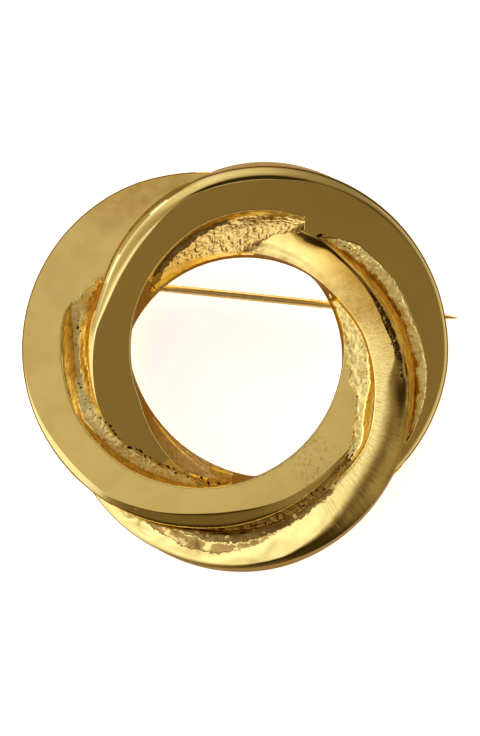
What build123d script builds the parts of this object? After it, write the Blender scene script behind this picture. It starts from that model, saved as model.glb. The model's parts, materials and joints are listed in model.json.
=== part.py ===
from build123d import *
import os
from math import cos, radians, sin

# Circle pin brooch: three flat, slightly tilted rings that overlap one another
# in a swirl, cast as one piece, with a hinged pin stem behind them.
# The casting has its own frame: the back plane is z = 0 and the face looks
# along +Z. The whole brooch lies on a surface on its hinge, its catch and the
# lower edge of its back, so that frame is tilted in the part's own frame.

os.makedirs("parts", exist_ok=True)

# ---- the three rings of the casting ----
RING_THROUGH = 8.0      # how far each ring's walls run down before the back plane trims them
RING_MID_HEIGHT = 3.8   # top face at each ring's centre, above the back plane
RING_RISE = 0.10        # slope of each top face
BEVEL_SLOPE = 55.0      # degrees from the ring's axis, on the outer bevels

# name: ring; x, y: centre of the outer edge; r: its radius; hx, hy, hr: the same
# for the hole; high: direction of the high side; bevel_to: direction of the
# widest bevel; wide, narrow: bevel widths there and opposite
RING_COLUMNS = ("name", "x", "y", "r", "hx", "hy", "hr", "high", "bevel_to", "wide", "narrow")
RING_ROWS = (
    ("left", -4.15, 2.10, 21.22, -3.87, 2.44, 16.79, 245.0, 265.0, 1.80, 0.25),
    ("right", 3.95, 2.50, 21.45, 3.73, 2.15, 16.31, 129.0, 118.0, 1.50, 0.35),
    ("bottom", 0.05, -3.18, 20.77, 0.05, -2.89, 16.49, 8.0, -15.0, 2.00, 0.50),
)
RINGS = [dict(zip(RING_COLUMNS, row)) for row in RING_ROWS]

# ---- the web that fills the gaps between the rings ----
WEB_HEIGHT = 1.9        # above the back plane
WEB_INSET = 0.6         # inside the rings' outer edges
WEB_HOLE_COLUMNS = ("x", "y", "r")
WEB_HOLE = [
    dict(zip(WEB_HOLE_COLUMNS, row))
    for row in ((-2.23, 1.10, 15.12), (5.04, 4.79, 18.25), (1.16, -1.91, 15.15))
]

# ---- the shallow hollow in the back, between an outer and an inner rim ----
HOLLOW_DEPTH = 1.0
HOLLOW_R_OUT = 20.7
HOLLOW_R_IN = 15.9
LAND_MARGIN = 0.6       # the back stays flat this far round each soldered pad

# ---- the pin line, behind the back plane ----
PIN_LINE_ANGLE = -5.86  # degrees, across the back
PIN_LINE_UP = 8.59      # distance of the line above the casting's centre
PIN_DEPTH = 2.60        # the stem's axis behind the back plane
HINGE_AT = -19.5        # along the line
CATCH_AT = 20.5

# ---- pin stem ----
WIRE_R = 0.475
NECK_ROOT = 0.3         # the neck starts inside the eye, flares and narrows to the wire
NECK_ROOT_R = 0.40
NECK_WIDEST = 1.05
NECK_R = 0.53
NECK_END = 1.7          # past the hinge
TAPER_START = 37.7      # past the hinge: the wire's full size ends here
TAPER_END = 43.8
TAPER_END_R = 0.375
TIP_END = 45.5
TIP_R = 0.06
EYE_R = 0.95
EYE_WIDTH = 1.0
EYE_BORE_R = 0.50

# ---- hinge bracket and rivet ----
PAD_THICK = 0.5
PAD_SINK = 0.3          # the solder joint: pads run this far into the casting
HINGE_PAD_LONG = 4.4
HINGE_PAD_WIDE = 4.4
EAR_GAP = 1.20
EAR_THICK = 0.60
EAR_R = 1.00
RIVET_R = 0.45
EAR_HOLE_R = 0.47
RIVET_HEAD_R = 0.80
RIVET_HEAD_THICK = 0.30
RIVET_HEAD_GAP = 0.02

# ---- catch ----
CATCH_PAD_LONG = 4.0
CATCH_PAD_WIDE = 3.6
CATCH_LONG = 2.6
CATCH_R = 1.20
CATCH_BORE_R = 0.60
CATCH_MOUTH = 1.07
CATCH_LEG = 1.10

# ---- how the brooch lies ----
REST_TILT = 6.575       # degrees, the pin line's side is the raised one
SEAT_X = -0.61
SEAT_Y = -0.04
SEAT_Z = 2.730

# The casting's frame in the part's frame: turned about the pin line's direction.
line_dir = Vector(cos(radians(PIN_LINE_ANGLE)), sin(radians(PIN_LINE_ANGLE)), 0)
turn = Location((SEAT_X, SEAT_Y, SEAT_Z)) * Location(
    Plane(origin=(0, 0, 0), x_dir=line_dir, z_dir=(0, 0, 1))
) * Location((0, 0, 0), (REST_TILT, 0, 0)) * Location((0, 0, 0), (0, 0, -PIN_LINE_ANGLE))
SEAT = Plane(turn)


def placed(x, y, z, x_dir=(1, 0, 0), z_dir=(0, 0, 1)):
    """A plane given in the casting's frame."""
    return Plane(
        origin=SEAT.from_local_coords(Vector(x, y, z)),
        x_dir=SEAT.from_local_coords(Vector(*x_dir)) - SEAT.origin,
        z_dir=SEAT.from_local_coords(Vector(*z_dir)) - SEAT.origin,
    )


def on_line(along, across, depth):
    """A point in the casting's frame, measured along and across the pin line."""
    c, s = cos(radians(PIN_LINE_ANGLE)), sin(radians(PIN_LINE_ANGLE))
    up = PIN_LINE_UP + across
    return (along * c - up * s, along * s + up * c, -depth)


along_dir = (cos(radians(PIN_LINE_ANGLE)), sin(radians(PIN_LINE_ANGLE)), 0)
across_dir = (-sin(radians(PIN_LINE_ANGLE)), cos(radians(PIN_LINE_ANGLE)), 0)
down_dir = tuple(-v for v in across_dir)


def ring_plane(row, lift=0.0):
    """The tilted plane of a ring's top face, through the centre of its outer edge."""
    ux, uy = cos(radians(row["high"])), sin(radians(row["high"]))
    return placed(
        row["x"], row["y"], RING_MID_HEIGHT + lift,
        x_dir=(ux, uy, RING_RISE), z_dir=(-RING_RISE * ux, -RING_RISE * uy, 1),
    )


def in_ring(row, x, y):
    """A point of the casting's frame in a ring's own plane, whose x runs to the high side."""
    a = radians(row["high"])
    dx, dy = x - row["x"], y - row["y"]
    return (dx * cos(a) + dy * sin(a), -dx * sin(a) + dy * cos(a))


def bevel_centre(row):
    shift = (row["wide"] - row["narrow"]) / 2
    a = radians(row["bevel_to"])
    return in_ring(row, row["x"] - shift * cos(a), row["y"] - shift * sin(a))


BEVEL_LIFT = 0.8        # the bevel's cone starts above the face

# ---- the three bands ----
left, right, bottom = RINGS

with BuildPart() as left_band:
    with BuildSketch(ring_plane(left)):
        Circle(left["r"])
    extrude(amount=-RING_THROUGH)
    with BuildSketch(ring_plane(left, BEVEL_LIFT)):
        with Locations(bevel_centre(left)):
            Circle(left["r"] - (left["wide"] + left["narrow"]) / 2 - BEVEL_LIFT * 1.428)
    extrude(amount=-RING_THROUGH - 2, taper=-BEVEL_SLOPE, mode=Mode.INTERSECT)
    with BuildSketch(ring_plane(left, 1.0)):
        with Locations(in_ring(left, left["hx"], left["hy"])):
            Circle(left["hr"])
    extrude(amount=-RING_THROUGH - 3, mode=Mode.SUBTRACT)

with BuildPart() as right_band:
    with BuildSketch(ring_plane(right)):
        Circle(right["r"])
    extrude(amount=-RING_THROUGH)
    with BuildSketch(ring_plane(right, BEVEL_LIFT)):
        with Locations(bevel_centre(right)):
            Circle(right["r"] - (right["wide"] + right["narrow"]) / 2 - BEVEL_LIFT * 1.428)
    extrude(amount=-RING_THROUGH - 2, taper=-BEVEL_SLOPE, mode=Mode.INTERSECT)
    with BuildSketch(ring_plane(right, 1.0)):
        with Locations(in_ring(right, right["hx"], right["hy"])):
            Circle(right["hr"])
    extrude(amount=-RING_THROUGH - 3, mode=Mode.SUBTRACT)

with BuildPart() as bottom_band:
    with BuildSketch(ring_plane(bottom)):
        Circle(bottom["r"])
    extrude(amount=-RING_THROUGH)
    with BuildSketch(ring_plane(bottom, BEVEL_LIFT)):
        with Locations(bevel_centre(bottom)):
            Circle(bottom["r"] - (bottom["wide"] + bottom["narrow"]) / 2 - BEVEL_LIFT * 1.428)
    extrude(amount=-RING_THROUGH - 2, taper=-BEVEL_SLOPE, mode=Mode.INTERSECT)
    with BuildSketch(ring_plane(bottom, 1.0)):
        with Locations(in_ring(bottom, bottom["hx"], bottom["hy"])):
            Circle(bottom["hr"])
    extrude(amount=-RING_THROUGH - 3, mode=Mode.SUBTRACT)

# ---- the casting, with the hinge bracket and the catch soldered to its back ----
with BuildPart() as ring:
    # web between the rings
    with BuildSketch(placed(0, 0, 0)):
        for row in RINGS:
            with Locations((row["x"], row["y"])):
                Circle(row["r"] - WEB_INSET)
    extrude(amount=WEB_HEIGHT)
    add(left_band.part)
    add(right_band.part)
    add(bottom_band.part)
    # the open middle, down through the web
    with BuildSketch(placed(0, 0, -6)):
        for i, row in enumerate(WEB_HOLE):
            with Locations((row["x"], row["y"])):
                Circle(row["r"], mode=Mode.ADD if i == 0 else Mode.INTERSECT)
    extrude(amount=20, mode=Mode.SUBTRACT)
    # flat back
    split(bisect_by=placed(0, 0, 0), keep=Keep.TOP)
    # hollow back, with flat lands for the findings
    with BuildSketch(placed(0, 0, 0)):
        Circle(HOLLOW_R_OUT)
        Circle(HOLLOW_R_IN, mode=Mode.SUBTRACT)
        with Locations(Location(on_line(HINGE_AT, 0, 0), (0, 0, PIN_LINE_ANGLE))):
            RectangleRounded(HINGE_PAD_LONG + 2 * LAND_MARGIN, HINGE_PAD_WIDE + 2 * LAND_MARGIN, 1.2,
                             mode=Mode.SUBTRACT)
        with Locations(Location(on_line(CATCH_AT, 0, 0), (0, 0, PIN_LINE_ANGLE))):
            RectangleRounded(CATCH_PAD_LONG + 2 * LAND_MARGIN, CATCH_PAD_WIDE + 2 * LAND_MARGIN, 1.2,
                             mode=Mode.SUBTRACT)
    extrude(amount=HOLLOW_DEPTH, mode=Mode.SUBTRACT)

    # hinge bracket: pad and two ears
    with BuildSketch(placed(*on_line(HINGE_AT, 0, PAD_THICK), x_dir=along_dir)):
        RectangleRounded(HINGE_PAD_LONG, HINGE_PAD_WIDE, 0.8)
    extrude(amount=PAD_THICK + PAD_SINK)
    for side in (-1, 1):
        ear_mid = side * (EAR_GAP + EAR_THICK) / 2
        with BuildSketch(placed(*on_line(HINGE_AT, ear_mid, PIN_DEPTH), x_dir=along_dir, z_dir=down_dir)):
            Circle(EAR_R)
            with Locations((0, (PIN_DEPTH - PAD_THICK / 2) / 2)):
                Rectangle(2 * EAR_R, PIN_DEPTH - PAD_THICK / 2)
            Circle(EAR_HOLE_R, mode=Mode.SUBTRACT)
        extrude(amount=EAR_THICK / 2, both=True)

    # catch: pad, leg and an open hook
    with BuildSketch(placed(*on_line(CATCH_AT, 0, PAD_THICK), x_dir=along_dir)):
        RectangleRounded(CATCH_PAD_LONG, CATCH_PAD_WIDE, 0.8)
    extrude(amount=PAD_THICK + PAD_SINK)
    with BuildSketch(placed(*on_line(CATCH_AT, 0, PIN_DEPTH), x_dir=across_dir, z_dir=along_dir)):
        Circle(CATCH_R)
        with Locations((0, (PIN_DEPTH - PAD_THICK / 2) / 2)):
            Rectangle(CATCH_LEG, PIN_DEPTH - PAD_THICK / 2)
        Circle(CATCH_BORE_R, mode=Mode.SUBTRACT)
        with Locations((0, -CATCH_R)):
            Rectangle(CATCH_MOUTH, 2 * CATCH_R - 0.2, mode=Mode.SUBTRACT)
    extrude(amount=CATCH_LONG / 2, both=True)
ring.part.label = "ring"

# ---- hinge rivet, across the bracket ----
with BuildPart() as hinge_rivet:
    half = EAR_GAP / 2 + EAR_THICK + RIVET_HEAD_GAP
    with BuildSketch(placed(*on_line(HINGE_AT, 0, PIN_DEPTH), x_dir=along_dir, z_dir=across_dir)):
        Circle(RIVET_R)
    extrude(amount=half + RIVET_HEAD_THICK / 2, both=True)
    for side in (-1, 1):
        with BuildSketch(placed(*on_line(HINGE_AT, side * half, PIN_DEPTH), x_dir=along_dir,
                                z_dir=tuple(side * v for v in across_dir))):
            Circle(RIVET_HEAD_R)
        extrude(amount=RIVET_HEAD_THICK)
hinge_rivet.part.label = "hinge_rivet"

# ---- pin stem: an eye on the rivet, a neck, the wire and its taper ----
with BuildPart() as pin_stem:
    with BuildSketch(placed(*on_line(HINGE_AT, 0, PIN_DEPTH), x_dir=along_dir, z_dir=across_dir)):
        Circle(EYE_R)
    extrude(amount=EYE_WIDTH / 2, both=True)
    # half section of the stem, turned about the stem's axis
    with BuildSketch(placed(*on_line(HINGE_AT, 0, PIN_DEPTH), x_dir=along_dir, z_dir=across_dir)):
        with BuildLine():
            Polyline(
                (NECK_ROOT, 0), (NECK_ROOT, NECK_ROOT_R), (NECK_WIDEST, NECK_R), (NECK_END, WIRE_R),
                (TAPER_START, WIRE_R), (TAPER_END, TAPER_END_R), (TIP_END, TIP_R), (TIP_END, 0),
                close=True,
            )
        make_face()
    revolve(axis=Axis(placed(*on_line(HINGE_AT, 0, PIN_DEPTH)).origin,
                      placed(0, 0, 0, z_dir=along_dir, x_dir=(0, 0, 1)).z_dir))
    with BuildSketch(placed(*on_line(HINGE_AT, -2, PIN_DEPTH), x_dir=along_dir, z_dir=across_dir)):
        Circle(EYE_BORE_R)
    extrude(amount=4, mode=Mode.SUBTRACT)
pin_stem.part.label = "pin_stem"

export_step(ring.part, "parts/ring.step")
export_step(hinge_rivet.part, "parts/hinge_rivet.step")
export_step(pin_stem.part, "parts/pin_stem.step")

for piece in (ring, hinge_rivet, pin_stem):
    box = piece.part.bounding_box()
    print(piece.part.label, "volume", round(piece.part.volume, 3), "min", box.min, "max", box.max)
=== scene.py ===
import bpy, bmesh, json, math
import numpy as np
from mathutils import Matrix, Vector

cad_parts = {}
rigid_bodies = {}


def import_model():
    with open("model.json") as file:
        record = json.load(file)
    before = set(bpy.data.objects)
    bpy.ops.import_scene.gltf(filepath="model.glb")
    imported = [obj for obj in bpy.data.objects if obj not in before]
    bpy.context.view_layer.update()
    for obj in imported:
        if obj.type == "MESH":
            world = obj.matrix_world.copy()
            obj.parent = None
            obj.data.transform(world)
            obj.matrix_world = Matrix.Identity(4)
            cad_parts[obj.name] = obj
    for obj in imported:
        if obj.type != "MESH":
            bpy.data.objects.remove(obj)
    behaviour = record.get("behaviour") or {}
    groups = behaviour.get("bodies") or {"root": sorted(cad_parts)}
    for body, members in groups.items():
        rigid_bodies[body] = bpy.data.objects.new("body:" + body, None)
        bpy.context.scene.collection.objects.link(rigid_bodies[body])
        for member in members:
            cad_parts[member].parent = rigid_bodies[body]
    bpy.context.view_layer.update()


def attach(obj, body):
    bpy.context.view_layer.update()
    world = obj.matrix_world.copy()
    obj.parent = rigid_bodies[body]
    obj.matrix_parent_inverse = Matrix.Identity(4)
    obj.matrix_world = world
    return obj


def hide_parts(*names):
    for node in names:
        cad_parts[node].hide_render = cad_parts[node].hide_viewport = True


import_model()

MM = 0.001

# ------------------------------------------------------------------
# The casting's own frame: back plane z = 0, face along +Z, millimetres.
# The brooch lies tilted on its hinge, its catch and its lower rim.
# ------------------------------------------------------------------
PIN_LINE_ANGLE = -5.86
PIN_LINE_UP = 8.59
PIN_DEPTH = 2.60
HINGE_AT = -19.5
CATCH_AT = 20.5
REST_TILT = 6.575
SEAT_X, SEAT_Y, SEAT_Z = -0.61, -0.04, 2.730

SEAT = (
    Matrix.Translation((SEAT_X, SEAT_Y, SEAT_Z))
    @ Matrix.Rotation(math.radians(PIN_LINE_ANGLE), 4, "Z")
    @ Matrix.Rotation(math.radians(REST_TILT), 4, "X")
    @ Matrix.Rotation(-math.radians(PIN_LINE_ANGLE), 4, "Z")
)
TO_METRES = Matrix.Scale(MM, 4)

RING_MID_HEIGHT = 3.8
RING_RISE = 0.10
FLOOR_CUT = -1.0        # meshes run down to here before the back is cut


# ------------------------------------------------------------------
# Small numeric helpers
# ------------------------------------------------------------------
def turn_table(rows, soften=4.0):
    """A smooth function of the angle round the casting, from a short table of (degrees, value)."""
    rows = sorted((a % 360.0, v) for a, v in rows)
    a = np.array([r[0] for r in rows])
    v = np.array([r[1] for r in rows], float)
    grid = np.arange(1440) * 0.25
    dense = np.interp(grid, np.r_[a - 360, a, a + 360], np.r_[v, v, v])
    k = np.arange(-120, 121) * 0.25
    w = np.exp(-0.5 * (k / max(soften, 0.2)) ** 2)
    w /= w.sum()
    dense = np.convolve(np.r_[dense[-120:], dense, dense[:120]], w, mode="valid")

    def at(theta):
        return np.interp(np.degrees(theta) % 360.0, np.r_[grid, 360.0], np.r_[dense, dense[:1]])

    return at


_perm = np.random.default_rng(7).permutation(4096)
_turns = np.random.default_rng(11).random(4096) * 2 * math.pi
_gx, _gy = np.cos(_turns), np.sin(_turns)


def noise2(x, y):
    """Gradient noise of two coordinates, about -0.7 to 0.7."""
    xi, yi = np.floor(x).astype(int), np.floor(y).astype(int)
    xf, yf = x - xi, y - yi

    def corner(i, j):
        h = _perm[(_perm[(xi + i) & 4095] + (yi + j)) & 4095]
        return _gx[h] * (xf - i) + _gy[h] * (yf - j)

    u = xf * xf * xf * (xf * (xf * 6 - 15) + 10)
    v = yf * yf * yf * (yf * (yf * 6 - 15) + 10)
    a = corner(0, 0) * (1 - u) + corner(1, 0) * u
    b = corner(0, 1) * (1 - u) + corner(1, 1) * u
    return a * (1 - v) + b * v


def smooth(x, lo, hi):
    t = np.clip((x - lo) / (hi - lo), 0, 1)
    return t * t * (3 - 2 * t)


def circle_reach(theta, cx, cy, r):
    """Distance from the casting's middle to a circle round it, in a direction."""
    along = cx * np.cos(theta) + cy * np.sin(theta)
    return along + np.sqrt(np.maximum(r * r - (cx * cx + cy * cy) + along * along, 0))


def span(theta, lo, hi, blend=6.0):
    """1 inside an angular span in degrees, 0 outside, with soft ends."""
    mid, half = math.radians((lo + hi) / 2), math.radians((hi - lo) / 2)
    d = np.abs((theta - mid + math.pi) % (2 * math.pi) - math.pi)
    b = math.radians(blend) / 2
    return 1 - smooth(d, half - b, half + b)


HOLE_ARCS = ((-2.23, 1.10, 14.98), (5.04, 4.79, 18.12), (1.16, -1.91, 15.00))


def hole_outline(theta):
    """Radius of the open middle at the back plane."""
    d = [circle_reach(theta, *arc) for arc in HOLE_ARCS]
    k = 6.0
    return -np.log(sum(np.exp(-k * v) for v in d)) / k


# ------------------------------------------------------------------
# The three rings. Circles are (x, y, radius) in millimetres: `face` is the
# outer edge of the flat face, `hole` its inner edge, `foot` the outline at
# the back. Tables are (degrees round the casting, value).
#   grow_out, grow_in   how far the face's edges leave those circles
#   bevel, drop, ridge  width and fall of the outer bevel, rounding of its ridge
#   lip                 width of the flat rim at the bevel's foot
#   roll, roll_drop     width and fall of the rounding at the face's inner side
#   lean_in, lean_out   outward run of the side walls for 1 mm of height
#   wave                height of the face's ripples
# ------------------------------------------------------------------
OUTLINE_TRIM = turn_table([
    (0, -.10), (20, -.32), (40, -.66), (60, -.42), (74, .10), (84, .32), (96, .36), (104, .05), (126, -.05), (150, .04),
    (180, .12), (204, .16), (219, .22), (229, -.22), (240, -.05), (256, .28), (270, .46), (284, .52), (300, .32), (324, .04),
    (333, .08), (350, -.05)], 4)

RINGS = {
    "left": dict(
        face=(-4.15, 2.10, 21.22), hole=(-3.87, 2.44, 16.79), foot=(-4.25, 1.96, 21.12), high=245.0,
        at_hole=(267.5, 402.5), at_outline=(101, 228),
        grow_out=turn_table([(95, 0), (110, -.05), (120, .1), (150, .05), (210, -.05), (225, .05), (240, .05), (255, 0), (270, .2), (285, .25), (300, .3), (330, .3), (30, 0)]),
        grow_in=turn_table([(90, -3.0), (105, -3.4), (130, -3.6), (141, -3.4), (146, -2.6), (150, -1.6), (154, -1.0), (158, -.5), (161.5, .0), (166, .1), (180, 0), (195, .25), (210, .2), (225, .2), (240, .05), (260, 0), (60, 0)], 1.2),
        bevel=turn_table([(60, .12), (120, .08), (178, .10), (192, .35), (205, .75), (218, .85), (226, .7), (235, 1.15), (250, 1.6), (258, 1.75), (270, 1.75), (282, 1.35), (295, .9), (310, .5), (318, .35), (325, .05), (335, .03)], 2.5),
        drop=turn_table([(60, .05), (120, .03), (178, .04), (192, .16), (205, .38), (218, .42), (226, .36), (235, .52), (250, .72), (270, .80), (285, .58), (300, .36), (318, .18), (325, .02), (335, .01)], 2.5),
        ridge=turn_table([(60, .1), (200, .12), (222, .12), (232, .15), (243, .2), (252, .28), (262, .32), (274, .32), (283, .25), (288, .2), (300, .8), (330, .4)], 2.5),
        crease=turn_table([(60, .3), (225, .6), (240, .85), (248, .42), (268, .36), (283, .42), (288, .85), (292, .7), (330, .3)], 2.5),
        lip=turn_table([(60, 0), (228, 0), (240, .12), (270, .22), (285, .18), (300, .05), (330, 0)]),
        roll=turn_table([(0, .2), (180, .2)]), roll_drop=turn_table([(0, .02), (180, .02)]),
        lean_in=turn_table([(110, .1), (154, .1), (160, .4), (168, .7), (185, .7), (195, .4), (210, .45), (235, .3), (250, .12), (268, .1), (300, .1)], 3),
        lean_out=turn_table([(232, .04), (330, .04)]),
        wave=turn_table([(0, .0015), (180, .0015)]), scar=turn_table([(0, 0), (180, 0)]), crown=.006, edge=.14, inner_edge=.09,
    ),
    "right": dict(
        face=(3.95, 2.50, 21.45), hole=(3.73, 2.15, 16.31), foot=(4.26, 3.29, 21.07), high=129.0,
        at_hole=(134.5, 276.5), at_outline=(-29, 105),
        grow_out=turn_table([(-45, -.1), (0, .05), (15, -.12), (30, -.15), (45, -.1), (60, -.05), (75, -.05), (90, 0), (105, .1), (120, .05), (135, -.15), (150, -.45), (157, -.4), (165, -.1), (180, .05), (195, .2), (204, .15), (210, -.2), (218, -1.1), (225, -1.9), (240, -2.9), (255, -3.7), (265, -3.9), (280, -3.9), (300, -1)], 2.5),
        grow_in=turn_table([(-45, 3.6), (-22, 3.8), (-15, 3.55), (-8, 3.3), (0, 2.75), (8, 2.0), (15, 1.35), (22, 1.05), (30, .75), (38, .35), (45, .1), (50, -.7), (55, -1.4), (57.5, -1.95), (61, -1.95), (63.6, -1.75), (64.8, -.35), (66, -.15), (70, -.06), (75, .08), (82, .18), (90, .22), (105, .25), (120, .08), (139, 0), (160, 0), (200, 0)], .7),
        bevel=turn_table([(-60, .35), (-20, .5), (0, .42), (20, .42), (34, .55), (45, .8), (60, 1.15), (75, 1.45), (90, 1.45), (105, 1.4), (120, 1.6), (135, 1.5), (150, 1.05), (165, .65), (180, .4), (188, .25), (195, .12), (230, .12)], 3),
        fold=turn_table([(100, 0), (112, .05), (128, .07), (142, .06), (156, .03), (168, 0), (0, 0)], 3),
        drop=turn_table([(-60, .2), (-20, .26), (0, .21), (20, .21), (34, .27), (45, .38), (60, .52), (75, .66), (90, .75), (105, .8), (120, .85), (135, .8), (150, .55), (165, .32), (180, .2), (195, .05), (230, .05)], 3),
        crease=turn_table([(-60, .8), (20, .8), (48, .8), (60, .85), (68, .7), (76, .32), (98, .28), (106, .6), (112, .5), (124, .12), (150, .1), (165, .1), (195, .2), (260, .2), (300, .8)], 2.5),
        ridge=turn_table([(-60, .5), (0, .4), (30, .5), (50, .5), (60, .2), (67, .3), (76, .70), (84, .85), (92, .85), (101, .6), (108, .3), (114, .8), (122, 1.3), (138, 1.3), (152, .9), (165, .4), (180, .15), (230, .1)], 2.5),
        lip=turn_table([(0, 0), (180, 0)]),
        roll=turn_table([(0, .2), (180, .2)]), roll_drop=turn_table([(0, .02), (180, .02)]),
        lean_in=turn_table([(-30, .3), (56, .1), (62, .8), (66, .9), (75, .85), (90, .6), (105, .3), (118, .1), (139, .1)], 1.5),
        lean_out=turn_table([(101, .10), (125, .12), (150, .10), (158, .25), (165, .45), (180, .6), (190, .5), (198, .2), (210, .1), (260, .1)], 3),
        wave=turn_table([(0, .0015), (180, .0015)]), scar=turn_table([(0, 0), (180, 0)]), crown=.006, edge=.14, inner_edge=.09,
    ),
    "bottom": dict(
        face=(0.05, -3.18, 20.77), hole=(0.05, -2.89, 16.49), foot=(0.33, -3.14, 20.97), high=8.0,
        at_hole=(33.5, 143.5), at_outline=(222, 335),
        grow_out=turn_table([(-100, .05), (-75, .05), (-60, .15), (-45, .1), (-30, .1), (-15, -.15), (0, -.13), (15, 0), (30, -.2), (45, -.15), (57, .3), (65, .3), (90, 0), (226, 0)], 3),
        grow_in=turn_table([(30, -.15), (45, -.1), (60, .05), (90, 0), (120, 0), (232, 2.0), (242, 1.9), (255, .8), (270, .2), (285, -.1), (300, -.7), (312, -.55), (330, .2), (345, -.05), (0, 0), (15, .1)], 3),
        bevel=turn_table([(-120, .3), (-90, .3), (-75, .5), (-62, 1.3), (-50, 2.2), (-38, 2.7), (-24, 2.5), (-18, 2.35), (-12, 2.2), (-6, 2.0), (-1, 1.6), (3, 1.2), (8, 1.2), (15, 1.45), (22, 1.15), (28, .8), (35, .6), (45, .45), (52, .5), (57, 1.4), (63, 1.5), (70, .4), (90, .3), (200, .3)], 2),
        drop=turn_table([(-120, .1), (-90, .1), (-75, .16), (-62, .3), (-50, .5), (-38, .62), (-24, .52), (-18, .46), (-12, .46), (-8, .66), (-4, .70), (0, .40), (3, .24), (8, .24), (15, .30), (22, .20), (28, .11), (35, .10), (45, .08), (52, .10), (57, .20), (60, .20), (64, .17), (68, .12), (72, .10), (90, .1), (200, .1)], 1.5),
        ridge=turn_table([(-120, .2), (-75, .5), (-60, 1.4), (-45, 2.2), (-30, 2.6), (-18, 2.3), (-12, 2.1), (-6, 2.0), (-1, 1.1), (3, .4), (10, .2), (25, .2), (50, .4), (57, .9), (64, .9), (72, .3), (200, .3)], 2.5),
        lip=turn_table([(-45, 0), (-28, .2), (-12, .4), (0, .42), (15, .42), (30, .5), (45, .3), (55, 0), (200, 0)], 2.5),
        roll=turn_table([(-135, .3), (-60, .3), (-48, .5), (-30, .35), (0, .3), (25, .4), (38, .6), (60, .6), (80, .4), (120, .3), (200, .3)]),
        roll_drop=turn_table([(-135, .05), (-60, .05), (-48, .08), (-30, .05), (0, .05), (25, .05), (38, .06), (60, .05), (80, .04), (120, .04), (200, .05)]),
        crease=turn_table([(-70, .0), (-2, .0), (3, .4), (7, .7), (30, .7), (46, .4), (54, .0), (68, .0), (100, .3), (250, .3)], 2.5),
        melt=(
            (turn_table([(225, 20.6), (238, 21.6), (248, 21.5), (255, 21.95), (262, 22.25), (270, 22.0), (278, 21.2), (285, 20.1), (292, 19.0), (305, 17.5), (330, 15.0), (180, 15.0)], 1.5), .05,
             turn_table([(225, .2), (240, .9), (255, 1.0), (270, .95), (278, .8), (285, .4), (292, .1), (330, .05)], 2)),
            (turn_table([(225, 18.0), (246, 20.3), (255, 20.85), (270, 20.95), (280, 20.45), (290, 19.8), (300, 19.25), (312, 18.5), (322, 17.4), (335, 15.0), (180, 15.0)], 1.5), .06,
             turn_table([(225, 1.2), (270, 1.4), (300, 1.2), (330, 1.0)], 2)),
        ),
        lean_in=turn_table([(232, .1), (270, .2), (310, .1), (320, .3), (330, .3), (338, .42), (346, .45), (352, .3), (0, .12), (15, .1), (26, .1)], 2),
        lean_out=turn_table([(-32, .03), (-25, .1), (-15, .2), (0, .31), (15, .32), (30, .36), (42, .4), (50, .3), (57, .1), (66, .05)], 3),
        wave=turn_table([(-150, .03), (-132, .085), (-118, .07), (-100, .045), (-85, .035), (-65, .02), (-45, .008), (0, .006), (55, .01), (75, .02), (110, .02), (150, .01)]),
        scar=turn_table([(-6, 0), (2, .02), (8, .05), (20, .06), (26, .03), (31, 0), (180, 0)], 1.5),
        line=(turn_table([(38, -.1), (45, .25), (59, .70), (75, 1.0), (90, 1.1), (200, 1.1), (300, -.1)], 2), turn_table([(38, 0), (46, .035), (60, .045), (72, .035), (82, .0), (200, 0)], 2)),
        crown=.06, edge=.10, inner_edge=.10,
    ),
}


def plane_height(ring, x, y):
    a = math.radians(ring["high"])
    cx, cy, _ = ring["face"]
    return RING_MID_HEIGHT + RING_RISE * ((x - cx) * math.cos(a) + (y - cy) * math.sin(a))


def face_edges(ring, theta):
    """Inner and outer radius of a ring's face."""
    inn = circle_reach(theta, *ring["hole"]) + ring["grow_in"](theta)
    out = circle_reach(theta, *ring["face"]) + ring["grow_out"](theta)
    return inn, out


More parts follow.
